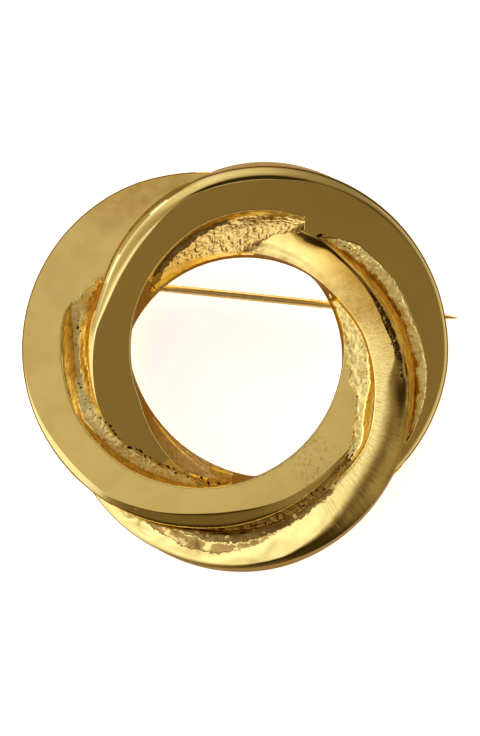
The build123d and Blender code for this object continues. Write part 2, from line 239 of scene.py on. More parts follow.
def face_height(ring, theta, r):
    """Height of a ring's upper side, with its crown, ripples, rolled inner side and outer bevel."""
    inn, out = face_edges(ring, theta)
    x, y = r * np.cos(theta), r * np.sin(theta)
    u = out - r
    v = r - inn
    h = plane_height(ring, x, y)
    mid = np.clip((v - u) / np.maximum(inn + (out - inn), 1) * 5, -1, 1)
    h = h + ring["crown"] * (1 - mid * mid)
    h = h + ring["wave"](theta) * (noise2(x * .42 + 11, y * .42 + 5) * 1.6 + noise2(x * .9, y * .9 + 3) * .8) * smooth(u, .2, 1.5)
    wi, di = ring["roll"](theta), ring["roll_drop"](theta)
    h = h - di * np.clip(1 - v / wi, 0, 1) ** 2
    if "line" in ring:       # a shallow rolled line beside the inner edge
        h = h - ring["line"][1](theta) * np.exp(-((v - ring["line"][0](theta)) / .15) ** 2)
    for edge, slope, width in ring.get("melt", ()):
        jag = .34 * noise2(theta * 8, theta * 0 + 3.3) + .22 * noise2(x * 1.3 + 4, y * 1.3) + .13 * noise2(x * 3.4, y * 3.4 + 8)
        e = edge(theta) + jag
        h = h - slope * np.clip(e - r, 0, width(theta))
    w, d, k, lip = ring["bevel"](theta), ring["drop"](theta), ring["ridge"](theta), ring["lip"](theta)
    # the slope's length goes from its rounded ridge down to the lip
    run = np.maximum(w - lip, .05)
    c = ring["crease"](theta)               # part of the slope that starts at once, as a crease
    t = w + k * .5 * (1 - c) - u            # 0 where the rounding of the ridge begins
    kk = np.maximum(np.minimum(k, run * 1.2), .02)
    tt = np.maximum(t, 0)
    fall = np.where(t < kk, c * tt + (1 - c) * tt ** 2 / (2 * kk), tt - kk * (1 - c) / 2)
    full = np.maximum(run + k * .5 * (1 - c) - kk * (1 - c) / 2, .05)
    m = np.maximum(np.minimum(full * .35, .25), .02)     # rounding at the foot of the slope
    fall = np.where(fall < full - m, fall, full - m + m * (1 - np.exp(-(np.maximum(fall - full + m, 0)) / m)))
    if "fold" in ring:
        f = ring["fold"](theta)
        h = h - f * np.exp(-((u - .42) / .09) ** 2) + f * .8 * np.exp(-((u - .22) / .12) ** 2)
    scar = ring["scar"](theta) * smooth(t, 0, .3) * smooth(u, lip + .05, lip + .3)
    return h - d * fall / np.maximum(full, .05) + scar * (pitted(x * 1.3 + 8, y * 1.3) - .1)


def ring_mesh(name, steps=560):
    ring = RINGS[name]
    theta = np.arange(steps) / steps * 2 * math.pi
    ex, ey = np.cos(theta), np.sin(theta)
    inn, out = face_edges(ring, theta)
    base_in = hole_outline(theta)
    base_out = circle_reach(theta, *ring["foot"]) + OUTLINE_TRIM(theta)
    hole, outline = span(theta, *ring["at_hole"]), span(theta, *ring["at_outline"], blend=4)
    w, k, c = ring["bevel"](theta), ring["ridge"](theta), ring["crease"](theta)
    re, ri = ring["edge"], ring["inner_edge"]

    prof = []      # (r, z, kind): 0 inner wall, 1 face, 2 bevel, 3 outer wall
    z_in = face_height(ring, theta, inn + ri) - ri
    slope_hole = np.maximum(inn - base_in, 0.03) / np.maximum(z_in, 0.5)
    slope_in = hole * slope_hole + (1 - hole) * ring["lean_in"](theta)
    for f in (FLOOR_CUT, 0.02, 0.15, 0.35, 0.55, 0.75, 0.9, 1.0):
        z = z_in * f if f >= 0 else np.full(steps, f)
        bow = 0.10 * hole * math.sin(math.pi * max(f, 0))
        prof.append((inn - slope_in * (z_in - z) + bow, z, 0))
    for a in (25, 50, 72, 90):
        a = math.radians(a)
        prof.append((inn + ri * (1 - math.cos(a)), z_in + ri * math.sin(a), 0 if a < 1 else 1))
    start, end = inn + ri, out - re
    ridge = np.clip(out - w - k * .5 * (1 - c), start + (end - start) * .25, end - .05)
    for t in (.04, .09, .15, .21, .28, .35, .42, .5, .58, .66, .74, .82, .89, .95, .985, 1.0):
        r = start + (ridge - start) * t
        prof.append((r, face_height(ring, theta, r), 1))
    for t in (.02, .07, .13, .19, .26, .34, .43, .53, .63, .73, .83, .92, 1.0):
        r = ridge + (end - ridge) * t
        prof.append((r, face_height(ring, theta, r), 2))
    z_out = prof[-1][1]
    for a in (22, 45, 68, 90):
        a = math.radians(a)
        prof.append((end + re * math.sin(a), z_out - re * (1 - math.cos(a)), 2 if a < .3 else 3))
    z_edge = z_out - re
    slope_base = (base_out - out) / np.maximum(z_edge, 0.5)
    slope_out = outline * slope_base + (1 - outline) * ring["lean_out"](theta)
    for f in (0.85, 0.65, 0.45, 0.25, 0.04, FLOOR_CUT):
        z = z_edge * f if f >= 0 else np.full(steps, f)
        prof.append((out + slope_out * (z_edge - z), z, 3))
    n = len(prof)
    rho = np.array([p[0] for p in prof])
    z = np.array([p[1] for p in prof])
    kinds = [p[2] for p in prof]
    verts = np.stack([ex * rho, ey * rho, z], axis=-1).transpose(1, 0, 2).reshape(-1, 3)
    faces, mats = [], []
    for i in range(steps):
        j = (i + 1) % steps
        for q in range(n):
            l = (q + 1) % n
            faces.append((i * n + q, i * n + l, j * n + l, j * n + q))
            mats.append(3 if l == 0 else max(kinds[q], kinds[l]) if kinds[l] else 0)
    # walls in the valleys are painted deep orange gold, as their inter-reflection; those round the open middle and the
    # outline are not
    # the outer wall's first rows below the edge take the painted dark edge line (slot 8)
    edge_rows = [q for q in range(n) if kinds[q] == 3][:4]
    n_of = len(prof)
    for i in range(steps):
        for q in range(n_of):
            f = i * n_of + q
            if name == "right" and 104 < i * 360 / steps < 158 and mats[f] == 3 and q + 1 in edge_rows:
                mats[f] = 8
            elif mats[f] == 0 and hole[i] < .5 or mats[f] == 3 and outline[i] < .5:
                mats[f] = 7
            elif name == "bottom" and mats[f] in (1, 2):
                mats[f] = 4
            elif mats[f] == 3 and q + 1 in edge_rows:
                mats[f] = 8
    return verts, faces, mats


def make_mesh(name, verts, faces, mats=None):
    me = bpy.data.meshes.new(name)
    me.from_pydata([tuple(v) for v in verts], [], faces)
    me.update()
    if mats is not None:
        me.polygons.foreach_set("material_index", np.array(mats, dtype=np.int32))
    bm = bmesh.new()
    bm.from_mesh(me)
    bmesh.ops.recalc_face_normals(bm, faces=bm.faces)
    bm.to_mesh(me)
    bm.free()
    ob = bpy.data.objects.new(name, me)
    bpy.context.scene.collection.objects.link(ob)
    for _ in range(11):
        me.materials.append(None)
    return ob


def boolean(ob, other, operation):
    mod = ob.modifiers.new("cut", "BOOLEAN")
    mod.object = other
    mod.operation = operation
    mod.solver = "MANIFOLD"
    dg = bpy.context.evaluated_depsgraph_get()
    me = bpy.data.meshes.new_from_object(ob.evaluated_get(dg))
    ob.modifiers.clear()
    old = ob.data
    ob.data = me
    bpy.data.meshes.remove(old)
    bpy.data.objects.remove(other)
    return ob


# ------------------------------------------------------------------
# The cast skin between the rings. Each row is (degrees, r1, r2, r3, r4, h1,
# h2, h3, h4, rough): radii from the outer ring's side to the inner one's,
# heights above the plane of the ring named in `over`, the pitted part lies
# between r2 and r3, and the rest is smooth bank.
# ------------------------------------------------------------------
SKINS = (
    dict(over="left", span=(142, 193), grain=2.0, sand=True, rows=(
        (142, 19.0, 18.6, 18.5, 18.2, -.02, .006, -.1, -.2, .006),
        (146, 19.7, 19.1, 18.9, 18.3, -.012, .01, -.15, -.3, .007),
        (150, 20.2, 19.6, 19.2, 18.3, -.012, .01, -.2, -.35, .008),
        (154, 20.7, 20.1, 19.4, 18.2, -.012, .01, -.3, -.45, .012),
        (158, 21.2, 20.6, 19.5, 18.1, -.02, .0, -.4, -.5, .02),
        (162, 21.4, 20.3, 19.5, 18.0, -.07, -.45, -.65, -.5, .035),
        (166, 21.35, 19.6, 19.15, 17.9, -.08, -.80, -.85, -.3, .035),
        (175, 20.95, 18.9, 18.6, 17.5, -.08, -1.0, -1.05, -.1, .035),
        (183, 20.45, 18.65, 18.4, 17.3, -.08, -1.0, -1.05, -.1, .035),
        (190, 20.1, 18.75, 18.0, 17.2, -.08, -.85, -.92, -.4, .035),
        (193, 19.95, 18.85, 17.75, 17.15, -.08, -.75, -.85, -.5, .035))),
    dict(over="right", span=(193, 272), grain=2.0, sand=True, rows=(
        (193, 19.95, 18.85, 17.75, 17.15, .21, -.46, -.56, -.21, .035),
        (199, 19.7, 18.9, 17.3, 17.0, .6, -.48, -.28, -.15, .035),
        (210, 18.7, 18.1, 16.5, 16.1, 1.2, -.56, -.10, -.08, .03),
        (225, 17.5, 16.95, 15.2, 14.8, 1.6, -.55, -.05, -.05, .03),
        (240, 16.1, 15.65, 14.4, 14.1, 2.0, -.30, -.03, -.05, .03),
        (255, 15.0, 14.8, 14.15, 13.9, 2.2, -.2, -.02, -.05, .03),
        (268, 14.05, 14.0, 13.95, 13.8, 2.0, -.1, -.02, -.05, .02))),
    dict(over="bottom", span=(64.2, 138.2), grain=1.5, groove=7, fade=87, rows=(
        (64.2, 19.3, 18.9, 18.5, 18.2, -.12, -.10, -.05, -.10, .01),
        (66, 19.7, 18.8, 18.2, 17.2, -.2, -.22, .05, -.05, .025),
        (71, 19.65, 18.6, 17.3, 15.9, .0, -.30, .08, -.04, .035),
        (76, 19.3, 18.3, 16.4, 14.8, .3, -.30, .095, -.03, .042),
        (82, 18.9, 17.9, 15.0, 13.6, .58, -.15, .12, -.02, .048),
        (90, 18.3, 17.5, 13.3, 13.0, .98, .05, .16, .13, .055),
        (105, 17.3, 16.8, 13.3, 13.0, 1.5, .14, .15, .12, .065),
        (120, 15.9, 15.7, 13.3, 13.0, 1.5, .13, .12, .10, .06),
        (133, 14.95, 14.8, 13.9, 13.5, 1.5, .10, .08, .06, .02),
        (138.2, 14.5, 14.4, 14.0, 13.7, .6, -.4, -.5, -.6, .02)),
        rough_to=((57, 30), (86, 30), (93, 17.3), (99, 16.5), (105, 15.9), (120, 14.7), (130, 13.8), (139, 13.0))),
    dict(over="right", span=(-23, 57), grain=1.6, sand=True, ragged=.34, beads=(43, 5.5, 20.05, .42, .20), rows=(
        (-23, 22.95, 22.55, 22.2, 21.7, -.06, .02, -.08, -.3, .015),
        (-15, 23.1, 22.7, 22.2, 21.6, -.10, .055, -.15, -.45, .03),
        (-8, 23.1, 22.7, 22.0, 21.4, -.10, .055, -.2, -.6, .045),
        (0, 22.95, 22.5, 21.7, 21.1, -.10, .055, -.22, -.65, .05),
        (8, 22.45, 22.05, 21.2, 20.6, -.10, .055, -.24, -.65, .045),
        (15, 21.95, 21.5, 20.8, 20.2, -.10, .055, -.24, -.65, .03),
        (22, 21.7, 21.3, 20.5, 19.9, -.10, .055, -.22, -.6, .02),
        (30, 21.5, 21.1, 20.2, 19.5, -.10, .055, -.18, -.5, .02),
        (38, 20.95, 20.55, 19.6, 18.95, -.10, .055, -.15, -.45, .045),
        (45, 20.55, 20.15, 19.15, 18.55, -.06, .02, -.14, -.4, .085),
        (52, 19.6, 19.25, 18.6, 18.2, -.06, .02, -.2, -.4, .07),
        (57, 18.8, 18.6, 18.3, 18.0, -.2, -.2, -.6, -.9, .05))),
    dict(over="bottom", dark=True, span=(236, 325), grain=1.4, rows=(
        (236, 21.6, 21.4, 21.2, 20.9, -.3, -.3, -.3, -.3, .02),
        (245, 20.9, 20.7, 20.3, 20.0, -.15, -.3, -.4, -.4, .05),
        (255, 20.3, 19.9, 19.4, 19.1, -.15, -.6, -.7, -.7, .09),
        (270, 19.9, 19.5, 18.7, 18.4, -.25, -.8, -.9, -.9, .12),
        (285, 19.6, 19.2, 18.0, 17.6, -.25, -.8, -.9, -.9, .12),
        (300, 19.0, 18.4, 17.5, 17.2, -.15, -.6, -.7, -.7, .09),
        (312, 18.4, 18.0, 17.4, 17.1, -.1, -.5, -.65, -.6, .08),
        (320, 18.2, 17.9, 17.4, 17.1, -.1, -.7, -.8, -.7, .06),
        (325, 18.1, 17.8, 17.4, 17.1, -.1, -1.1, -1.2, -1.1, .05))),
    dict(over="left", span=(-50, 38), grain=2.0, sand=True, rows=(
        (-50, 18.3, 17.8, 17.3, 17.0, -.6, -.8, -.8, -.5, .05),
        (-43, 18.25, 17.7, 17.2, 16.9, -.2, -.35, -.35, -.15, .05),
        (-38, 18.2, 17.5, 16.9, 16.5, .4, -.05, -.05, -.06, .05),
        (-34, 18.15, 17.3, 16.5, 16.1, .7, .05, .03, -.06, .045),
        (-30, 18.1, 17.2, 16.3, 15.9, 1.0, .22, .03, -.06, .04),
        (-20, 17.3, 15.9, 15.4, 15.0, 1.6, .18, .03, -.06, .03),
        (-13, 16.9, 15.9, 14.8, 14.4, 1.7, .36, .04, -.06, .025),
        (-6, 16.6, 15.9, 13.8, 13.4, 1.6, .60, .04, -.06, .025),
        (8, 16.1, 15.7, 13.4, 13.1, 1.5, .68, .04, -.06, .025),
        (20, 15.3, 15.15, 13.6, 13.3, 1.2, .50, .04, -.06, .025),
        (32, 14.5, 14.4, 14.0, 13.8, .8, .1, .0, -.06, .02))),
)


def pitted(x, y):
    """Cast skin: small lumps and sharper pits, about -1.5 to 0.7."""
    wx, wy = x + .25 * noise2(x * 1.1, y * 1.1 + 70), y + .25 * noise2(x * 1.1 + 90, y * 1.1)
    n = noise2(wx * 1.2 + 3, wy * 1.2) * .6 + (.35 - np.abs(noise2(wx * 2.1, wy * 2.1 + 9))) * .9 + noise2(x * 5.0 + 5, y * 5.0) * .25
    pits = smooth(noise2(wx * 1.5 + 40, wy * 1.5 + 7) + .45 * noise2(x * 3.6, y * 3.6 + 30), .30, .48)
    return n - 1.5 * pits


def web_height(theta, r):
    """Height of the cast web, and how pitted it is."""
    x, y = r * np.cos(theta), r * np.sin(theta)
    edges = {k: face_edges(R, theta) for k, R in RINGS.items()}
    h = np.full(r.shape, 1.0)
    rough = np.zeros(r.shape)
    # codes 1 and 3 are painted as shade later: the crevice dark, the smooth skin olive
    dark = np.zeros(r.shape)        # 1 in the dark crevice, 2 on fine sand, 3 on smooth olive skin
    wobble = noise2(x * .8 + 50, y * .8) * .55 + noise2(x * 2.2, y * 2.2 + 60) * .30
    for skin in SKINS:
        rows = np.array(skin["rows"], float)
        mid = sum(skin["span"]) / 2
        t = (np.degrees(theta) - mid + 180) % 360 - 180 + mid
        on = (t >= skin["span"][0]) & (t < skin["span"][1] + .01)
        col = [np.interp(t, rows[:, 0], rows[:, i]) for i in range(1, 10)]
        r1, r2, r3, r4, h1, h2, h3, h4, amount = col
        base = plane_height(RINGS[skin["over"]], x, y)
        q2, q3 = r2 + np.maximum(wobble, -.2) * .5, r3 + wobble
        jag = skin.get("ragged", 0) * (noise2(x * 2.3 + 9, y * 2.3) + .6 * noise2(x * 4.6 + 2, y * 4.6 + 7))
        k1 = smooth(r + jag, q2, np.maximum(r1, q2 + .05))
        k4 = smooth(-r, -q3, -np.minimum(r4, q3 - .05))
        k23 = np.clip((r - q3) / np.maximum(q2 - q3, .05), 0, 1)
        z = h3 + (h2 - h3) * k23 ** skin.get("groove", 1)
        z = z * (1 - k1) + h1 * k1
        z = z * (1 - k4) + h4 * k4
        part = (1 - k1) * (1 - k4)
        g = skin["grain"]
        z = base + z + pitted(x * g, y * g) * amount * part
        if "beads" in skin:
            at, wide, reach, thick, high = skin["beads"]
            spot = np.exp(-((t - at) / wide) ** 2 - ((r - reach) / thick) ** 2)
            z = z + high * spot * np.clip(noise2(x * 3.1 + 70, y * 3.1) * 2.2, -.5, 1)
        # where the skin runs out over a flat face, it is sand up to its border
        runs_out = (h2 > -.03) & (h1 < .1)
        coarse = smooth(np.where(runs_out, 1 - k4, part), .88, .97)
        kind = np.where(coarse > .5, 2.0 if skin.get("sand") else 0.0, 0.0)
        if skin.get("dark"):
            kind = np.ones(r.shape)
        if "fade" in skin:
            coarse = np.where((t < skin["fade"]) & (k1 < .1), 1.0, coarse)
        if "rough_to" in skin:
            calm = smooth(noise2(x * .75 + 21, y * .75 + 4), -.25, .35)
            z = z + amount * part * (.8 * noise2(x * 1.1 + 31, y * 1.1) + .5 * (.4 - np.abs(noise2(x * 1.9, y * 1.9 + 55))) - .45 * calm * pitted(x * g, y * g))
            far = np.array(skin["rough_to"], float)
            plain = smooth(r + wobble * .7, np.interp(t, far[:, 0], far[:, 1]) - .1, np.interp(t, far[:, 0], far[:, 1]) + .1)
            z = z - pitted(x * g, y * g) * amount * part * plain * .85
            coarse = coarse * (1 - plain)
            kind = np.where((plain > .5) & (part > .5), 3.0, kind)
        use = on & (r < r1 + .3) & (r > r4 - .3) & (z > h)
        h = np.where(use, z, h)
        rough = np.where(use, coarse, rough)
        dark = np.where(use, kind, dark)
    # behind the smooth walls round the open middle
    inner = np.min([e[0] for e in edges.values()], axis=0)
    hole = hole_outline(theta)
    top = np.array([face_height(R, theta, edges[k][0] + .1) for k, R in RINGS.items()])
    pick = np.argmin([edges[k][0] for k in RINGS], axis=0)
    z_top = np.take_along_axis(top, pick[None], axis=0)[0]
    wall = np.clip((r - hole) / np.maximum(inner - hole, .03), 0, 1) * z_top
    h = np.where(r < inner + .02, np.minimum(h, wall - .12), h)
    return np.maximum(h, .4), rough, dark


def web_mesh(steps=1000, rings=98):
    theta = np.arange(steps) / steps * 2 * math.pi
    r_in = hole_outline(theta) + 0.30
    r_out = np.max([circle_reach(theta, *R["face"]) for R in RINGS.values()], axis=0) - 1.6
    t = np.linspace(0, 1, rings)
    r = r_in[:, None] + (r_out - r_in)[:, None] * t[None, :]
    th = np.repeat(theta[:, None], rings, axis=1)
    z, rough, dark = web_height(th, r)
    x, y = r * np.cos(th), r * np.sin(th)
    top = np.stack([x, y, z], axis=-1).reshape(-1, 3)
    low_in = np.stack([x[:, 0], y[:, 0], np.full(steps, FLOOR_CUT)], axis=-1)
    low_out = np.stack([x[:, -1], y[:, -1], np.full(steps, FLOOR_CUT)], axis=-1)
    verts = np.vstack([top, low_in, low_out])
    a, b = steps * rings, steps * rings + steps
    faces, mats = [], []
    for i in range(steps):
        j = (i + 1) % steps
        for k in range(rings - 1):
            faces.append((i * rings + k, i * rings + k + 1, j * rings + k + 1, j * rings + k))
            mats.append({1.0: 7, 2.0: 10, 3.0: 7, 4.0: 1}.get(dark[i, k], 5 if rough[i, k] > .5 else 7))
        faces.append((i * rings, j * rings, a + j, a + i))
        faces.append((i * rings + rings - 1, b + i, b + j, j * rings + rings - 1))
        faces.append((a + i, a + j, b + j, b + i))
        mats += [7, 7, 7]
    return verts, faces, mats


cast = make_mesh("ring_cast", *ring_mesh("left"))
cast = boolean(cast, make_mesh("b", *ring_mesh("right")), "UNION")
cast = boolean(cast, make_mesh("c", *ring_mesh("bottom")), "UNION")
cast = boolean(cast, make_mesh("w", *web_mesh()), "UNION")

# flat back with a shallow hollow
def back_cutter(steps=360):
    theta = np.arange(steps) / steps * 2 * math.pi
    ex, ey = np.cos(theta), np.sin(theta)
    radii = np.r_[8.0, 15.7, 15.82, 15.95, 16.1, 16.3, 17.5, 19.0, 20.3, 20.5, 20.65, 20.78, 20.9, 40.0]
    lift = np.r_[0, 0, .10, .5, .88, 1.0, 1.0, 1.0, 1.0, .88, .5, .10, 0, 0] * 1.0
    x, y = radii[None, :] * ex[:, None], radii[None, :] * ey[:, None]
    z = np.repeat(lift[None, :], steps, axis=0)
    n = len(radii)
    top = np.stack([x, y, z], axis=-1).reshape(-1, 3)
    low = np.stack([x, y, np.full_like(z, -6.0)], axis=-1)[:, (0, -1)].reshape(-1, 3)
    verts = np.vstack([top, low, [[0, 0, 0], [0, 0, -6.0]]])
    base = steps * n
    faces = []
    for i in range(steps):
        j = (i + 1) % steps
        for k in range(n - 1):
            faces.append((i * n + k, i * n + k + 1, j * n + k + 1, j * n + k))
        faces.append((i * n + n - 1, base + 2 * i + 1, base + 2 * j + 1, j * n + n - 1))
        faces.append((base + 2 * i, base + 2 * j, base + 2 * j + 1, base + 2 * i + 1))
        faces.append((i * n, j * n, base + 2 * steps))
        faces.append((base + 2 * i, base + 2 * j, base + 2 * steps + 1))
    return verts, faces, [6] * len(faces)


cast = boolean(cast, make_mesh("k", *back_cutter()), "DIFFERENCE")


# ------------------------------------------------------------------
# Casting pits with real depth, each (degrees, r, long, wide, turned), coloured
# near-black as painted shade: a chain along the sand's inner limit, a black strip
# on the right arm's bevel that is a painted dark reflection, and single ones.
# ------------------------------------------------------------------
def surface_height(theta, r):
    web = web_height(np.array([theta]), np.array([r]))[0][0]
    best = web
    for R in RINGS.values():
        inn, out = face_edges(R, np.array([theta]))
        if inn[0] < r < out[0]:
            best = max(best, face_height(R, np.array([theta]), np.array([r]))[0])
    return best


def chart_pits():
    rng = np.random.default_rng(23)
    pits = []
    # chain between sand and the right ring's tail
    t = 203.0
    while t < 266:
        inner = np.interp(t, (203, 210, 225, 240, 255, 266), (16.75, 16.3, 15.0, 14.3, 14.05, 13.9))
        size = rng.uniform(.06, .21) * np.interp(t, (203, 212, 232, 250, 266), (.8, 1.3, .6, 1.1, .9))
        pits.append((t, inner + rng.uniform(-.25, .22), size * rng.uniform(1.1, 2.4), size, t + 90 + rng.uniform(-50, 50)))
        t += rng.uniform(.9, 2.3) * np.interp(t, (203, 235, 245, 266), (1.3, 1.5, .75, .8))
    # black strip on the right arm's bevel: black pits as its painted dark reflection
    t = 28.0
    while t > 1:
        near = np.interp(t, (-9, 0, 8, 15, 22, 28), (19.95, 19.75, 19.05, 18.75, 18.5, 18.3))
        wide = np.interp(t, (-9, 0, 10, 20, 28), (.30, .42, .70, .50, .15))
        for _ in range(4):
            size = rng.uniform(.10, .19)
            pits.append((t + rng.uniform(-.4, .4), near + rng.uniform(-.6, .6) * wide, size * rng.uniform(.8, 1.5), size, t + 90 * rng.integers(0, 2)))
        t -= rng.uniform(.6, 1.0)
    # the notch where the right arm meets the ring above it, black pits as its painted dark reflection, and single pits
    pits += [(-2.9, 19.74, .36, .17, 88), (-4.9, 19.72, .30, .15, 82), (-1.1, 19.68, .17, .11, 95), (-6.4, 19.68, .14, .09, 85),
             (57.4, 18.5, .40, .22, 20), (56.3, 18.75, .2, .12, 120), (322.7, 17.4, .30, .14, 50), (320.4, 17.48, .2, .11, 30), (324.6, 17.15, .14, .09, 60), (318.3, 17.55, .16, .1, 20),
             (166, 19.35, .20, .15, 80), (167, 18.95, .15, .11, 20), (163.5, 19.5, .12, .09, 0), (172, 19.2, .10, .08, 0),
             (186, 18.8, .20, .12, 150), (187.6, 18.55, .16, .12, 40), (189, 19.05, .10, .08, 0), (192, 18.3, .10, .07, 0),
             (196, 18.0, .13, .08, 120), (199, 17.6, .12, .08, 60), (201, 17.2, .16, .1, 100),
             (46, 19.6, .13, .09, 30), (48, 19.3, .16, .1, 100), (44.5, 19.9, .12, .08, 140), (50, 19.25, .1, .08, 0), (42, 19.75, .11, .07, 60),
             (9, 15.3, .11, .08, 20), (3, 15.5, .14, .07, 90), (-2, 15.6, .13, .07, 100), (-7, 15.7, .12, .08, 70), (-13.5, 14.9, .14, .09, 10),
             (18, 14.4, .08, .07, 0), (12, 13.7, .1, .06, 80), (-3, 13.9, .08, .06, 0)]
    kept = []
    for q in pits:
        a = math.radians(q[0])
        x, y = q[1] * math.cos(a), q[1] * math.sin(a)
        if all(math.hypot(x - k[0], y - k[1]) > 1.05 * (max(q[2], q[3]) + max(k[2], k[3])) for k in kept):
            kept.append((x, y, q[2], q[3], math.radians(q[4]), a, q[1]))
    return kept


def pit_mesh(sides=7):
    rng = np.random.default_rng(5)
    verts, faces = [], []
    for x, y, long, wide, turned, a, r in chart_pits():
        z = surface_height(a, r)
        base = len(verts)
        wob = rng.uniform(.72, 1.25, sides)
        for lift, k in ((.45, 1.5), (.0, 1.0), (-min(.5, 1.6 * wide), .55)):
            for i in range(sides):
                b = 2 * math.pi * i / sides
                u, v = long * k * wob[i] * math.cos(b), wide * k * wob[i] * math.sin(b)
                if lift > 0:
                    u, v = u / k, v / k
                verts.append((x + u * math.cos(turned) - v * math.sin(turned), y + u * math.sin(turned) + v * math.cos(turned), z + lift))
        for q in range(2):
            for i in range(sides):
                j = (i + 1) % sides
                faces.append((base + q * sides + i, base + q * sides + j, base + (q + 1) * sides + j, base + (q + 1) * sides + i))
        faces.append(tuple(base + i for i in range(sides)))
        faces.append(tuple(base + 2 * sides + i for i in reversed(range(sides))))
    return verts, faces, [9] * len(faces)


cast = boolean(cast, make_mesh("pits", *pit_mesh()), "DIFFERENCE")


# ------------------------------------------------------------------
# Hinge bracket and catch, soldered to flat lands on the back
# ------------------------------------------------------------------
def rounded(long, wide, r, n=6):
    pts = []
    for cx, cy, a0 in ((1, 1, 0), (-1, 1, 90), (-1, -1, 180), (1, -1, 270)):
        for i in range(n + 1):
            a = math.radians(a0 + 90 * i / n)
            pts.append((cx * (long / 2 - r) + r * math.cos(a), cy * (wide / 2 - r) + r * math.sin(a)))
    return pts


def arc(r, a, b, n):
    return [(r * math.cos(math.radians(a + (b - a) * i / n)), r * math.sin(math.radians(a + (b - a) * i / n))) for i in range(n + 1)]


def slab(pts, lo, hi, place, chamfer=.07, kind=6):
    """A plate with the outline pts, between two heights, with softened rims."""
    p = np.array(pts, float)
    prev, nxt = np.roll(p, 1, 0), np.roll(p, -1, 0)
    e1, e2 = p - prev, nxt - p
    e1 /= np.linalg.norm(e1, axis=1)[:, None]
    e2 /= np.linalg.norm(e2, axis=1)[:, None]
    n1, n2 = np.stack([-e1[:, 1], e1[:, 0]], 1), np.stack([-e2[:, 1], e2[:, 0]], 1)
    inward = (n1 + n2) / np.maximum(1 + (n1 * n2).sum(1), .35)[:, None]
    n = len(p)
    verts = []
    for z, k in ((lo, 1.0), (lo + chamfer * .35, .35), (lo + chamfer, 0), (hi - chamfer, 0), (hi - chamfer * .35, .35), (hi, 1.0)):
        for q in p + inward * chamfer * k:
            verts.append(place @ Vector((q[0], q[1], z)))
    faces = [tuple(reversed(range(n))), tuple(5 * n + i for i in range(n))]
    for l in range(5):
        for i in range(n):
            j = (i + 1) % n
            faces.append((l * n + i, l * n + j, (l + 1) * n + j, (l + 1) * n + i))
    return verts, faces, [kind] * len(faces)


def at_line(along, across, depth, x_axis, z_axis):
    """Frame at a point measured along and across the pin line, behind the back."""
    c, s_ = math.cos(math.radians(PIN_LINE_ANGLE)), math.sin(math.radians(PIN_LINE_ANGLE))
    basis = {"along": Vector((c, s_, 0)), "across": Vector((-s_, c, 0)), "up": Vector((0, 0, 1)), "down": Vector((s_, -c, 0))}
    x, z = basis[x_axis], basis[z_axis]
    y = z.cross(x)
    up = PIN_LINE_UP + across
    m = Matrix((x, y, z)).transposed().to_4x4()
    m.translation = (along * c - up * s_, along * s_ + up * c, -depth)
    return m


PAD_THICK, PAD_SINK, EAR_GAP, EAR_THICK, EAR_R, EAR_HOLE_R = .5, .3, 1.20, .60, 1.00, .47
CATCH_LONG, CATCH_R, CATCH_BORE_R, CATCH_MOUTH, CATCH_LEG = 2.6, 1.20, .60, 1.07, 1.10
REACH = PIN_DEPTH - PAD_THICK / 2

land_1 = make_mesh("land_1", *slab(rounded(5.6, 5.6, 1.2), 0, 1.25, at_line(HINGE_AT, 0, 0, "along", "up"), .02))
land_2 = make_mesh("land_2", *slab(rounded(5.2, 4.8, 1.2), 0, 1.25, at_line(CATCH_AT, 0, 0, "along", "up"), .02))
bracket = make_mesh("bracket", *slab(rounded(4.4, 4.4, .8), -PAD_THICK, PAD_SINK, at_line(HINGE_AT, 0, 0, "along", "up"), .09))
ear_outline = arc(EAR_R, 180, 360, 28) + [(EAR_R, REACH), (-EAR_R, REACH)]
for side in (-1, 1):
    ear_frame = at_line(HINGE_AT, side * (EAR_GAP + EAR_THICK) / 2, PIN_DEPTH, "along", "down")
    ear = make_mesh("ear", *slab(ear_outline, -EAR_THICK / 2, EAR_THICK / 2, ear_frame))
    ear = boolean(ear, make_mesh("bore", *slab(arc(EAR_HOLE_R, 0, 348.75, 31), -1, 1, ear_frame, .01)), "DIFFERENCE")
    bracket = boolean(bracket, ear, "UNION")
lip_a = math.degrees(math.acos(CATCH_MOUTH / 2 / CATCH_R))
bore_a = math.degrees(math.acos(CATCH_MOUTH / 2 / CATCH_BORE_R))
leg_a = math.degrees(math.acos(CATCH_LEG / 2 / CATCH_R))
hook_outline = (arc(CATCH_R, -lip_a, leg_a, 16) + [(CATCH_LEG / 2, REACH), (-CATCH_LEG / 2, REACH)]
                + arc(CATCH_R, 180 - leg_a, 180 + lip_a, 16) + arc(CATCH_BORE_R, 180 + bore_a, -bore_a, 24))
hook = make_mesh("hook", *slab(hook_outline, -CATCH_LONG / 2, CATCH_LONG / 2, at_line(CATCH_AT, 0, PIN_DEPTH, "across", "along")))
catch = make_mesh("catch", *slab(rounded(4.0, 3.6, .8), -PAD_THICK, PAD_SINK, at_line(CATCH_AT, 0, 0, "along", "up"), .09))
catch = boolean(catch, hook, "UNION")
for piece in (land_1, land_2, bracket, catch):
    cast = boolean(cast, piece, "UNION")
print("cast faces", len(cast.data.polygons), "triangles", sum(len(p.vertices) - 2 for p in cast.data.polygons))
